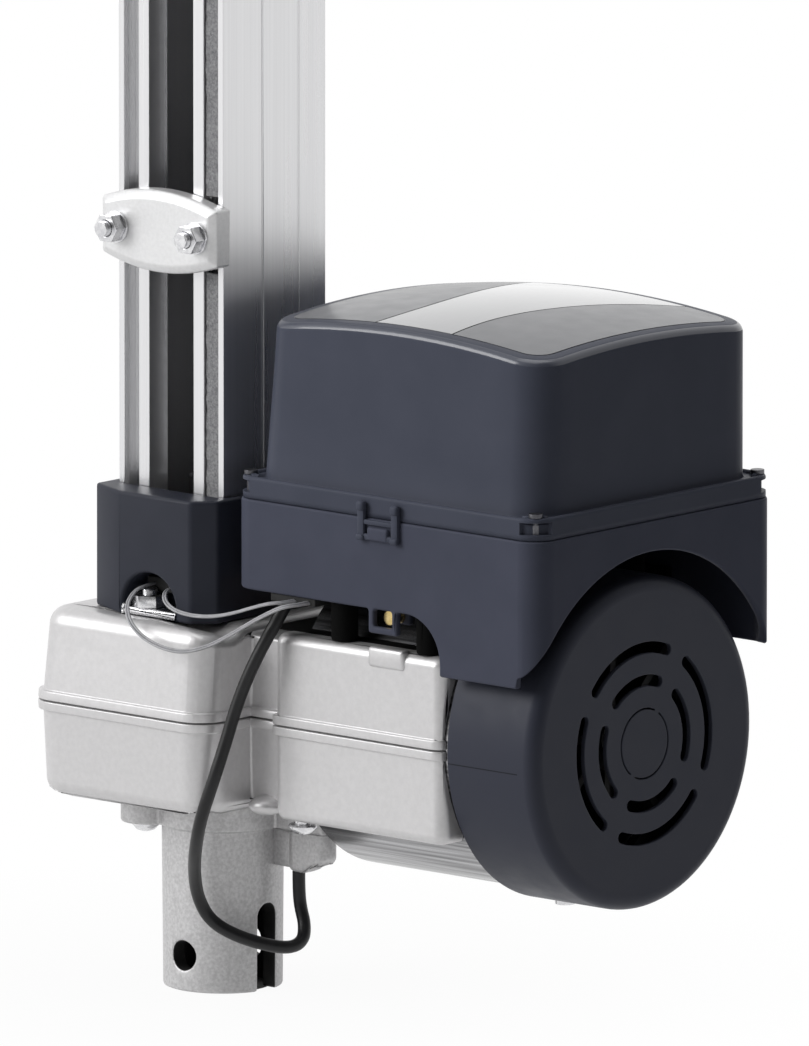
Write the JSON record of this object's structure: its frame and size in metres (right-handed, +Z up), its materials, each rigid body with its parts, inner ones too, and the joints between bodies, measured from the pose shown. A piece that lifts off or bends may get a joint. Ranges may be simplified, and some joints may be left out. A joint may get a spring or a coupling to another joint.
{
  "type": "up-and-over gate opener",
  "caption": "Upright spindle gate opener: slotted rail with a driven carriage and stop, worm gearbox, fan-cooled motor, domed control box and a pivot tube as its foot.",
  "frame": {"origin": "centre of the cross hole in the foot tube", "axes": "+Z up along the spindle and rail, +X along the motor towards its fan, +Y along the cross hole, towards the back of the rail"},
  "size_m": [0.2378, 0.1715, 1.1518],
  "materials": {
    "cast_aluminium": "die-cast, slightly mottled",
    "turned_aluminium": "turned, fine rings",
    "rail_aluminium": "extruded, satin anodised",
    "satin_aluminium": "cast and blasted, satin",
    "dark_plastic": "moulded, fine texture",
    "cover_plastic": "moulded, semi-gloss",
    "black_plastic": "moulded",
    "white_plastic": "moulded",
    "green_plastic": "moulded",
    "nut_polymer": "machined polymer",
    "zinc_steel": "bright zinc plated",
    "machined_steel": "machined",
    "gear_bronze": "cut bronze",
    "terminal_brass": "bright brass",
    "copper_wire": "enamelled copper",
    "black_rubber": "matte",
    "cable_black": "matte jacket",
    "wire_grey": "smooth jacket",
    "grey_felt": "pressed felt, speckled",
    "board_laminate": "solder resist"
  },
  "bodies": {
    "housing": {"base_screws": "zinc_steel", "box_base": "dark_plastic", "cable_gland": "black_rubber", "cap_screws": "zinc_steel", "case_gasket": "black_rubber", "case_screws": "zinc_steel", "collar_bolts": "zinc_steel", "control_board": "board_laminate", "cover_seal": "black_rubber", "drive_bearing": "machined_steel", "earth_terminal": "terminal_brass", "fan_bearing": "machined_steel", "fan_cover": "dark_plastic", "fan_cover_screws": "zinc_steel", "felt_strips": "grey_felt", "foot_screws": "zinc_steel", "foot_tube": "cast_aluminium", "left_sensor_wire": "wire_grey", "limit_sensor": "cast_aluminium", "lower_case": "cast_aluminium", "lower_wheel_bearing": "machined_steel", "motor_barrel": "turned_aluminium", "motor_cable": "cable_black", "motor_capacitor": "white_plastic", "motor_end_shield": "cast_aluminium", "oil_seal": "black_rubber", "rail": "rail_aluminium", "rail_collar": "dark_plastic", "rail_top_cap": "dark_plastic", "relays": "black_plastic", "right_sensor_wire": "wire_grey", "sensor_screw": "zinc_steel", "stator_core": "machined_steel", "stator_windings": "copper_wire", "terminal_strip": "green_plastic", "top_bearing": "machined_steel", "top_bearing_block": "cast_aluminium", "transformer": "machined_steel", "upper_case": "cast_aluminium", "upper_wheel_bearing": "machined_steel", "wire_grommet": "black_rubber", "worm_end_bearing": "machined_steel"},
    "rotor": {"worm_shaft": "machined_steel", "rotor_core": "machined_steel", "cooling_fan": "black_plastic"},
    "screw_drive": {"worm_wheel": "gear_bronze", "output_hub": "machined_steel", "coupling_pin": "zinc_steel", "spindle": "machined_steel"},
    "carriage": {"drive_nut": "nut_polymer", "carriage_block": "cast_aluminium", "slide_shoes": "nut_polymer", "carriage_bracket": "satin_aluminium", "carriage_bolts": "zinc_steel"},
    "stop": {"stop_plate": "satin_aluminium", "stop_bolts": "zinc_steel", "stop_washers": "zinc_steel", "stop_nuts": "zinc_steel"},
    "cover": {"box_cover": "cover_plastic", "cover_screws": "zinc_steel"}
  },
  "joints": [
    {"name": "rotor_spin", "type": "hinge", "parent": "housing", "child": "rotor", "pos_m": [0.05, 0.028, 0.096], "axis": [1, 0, 0], "range_deg": [-66000, 36000]},
    {"name": "spindle_spin", "type": "hinge", "parent": "housing", "child": "screw_drive", "pos_m": [0, 0, 0.096], "axis": [0, 0, 1], "range_deg": [-6601, 3601]},
    {"name": "carriage_travel", "type": "slide", "parent": "housing", "child": "carriage", "axis": [0, 0, 1], "range_m": [-0.2401, 0.4401]},
    {"name": "stop_adjust", "type": "slide", "parent": "housing", "child": "stop", "axis": [0, 0, 1], "range_m": [-0.008, 0.008]},
    {"name": "cover_lift", "type": "slide", "parent": "housing", "child": "cover", "axis": [0, 0, 1], "range_m": [0, 0.12]}
  ],
  "couplings": [
    {"joint": "spindle_spin", "follows": "rotor_spin", "ratio": 0.1},
    {"joint": "carriage_travel", "follows": "rotor_spin", "m_per_rad": -0.00038197}
  ]
}
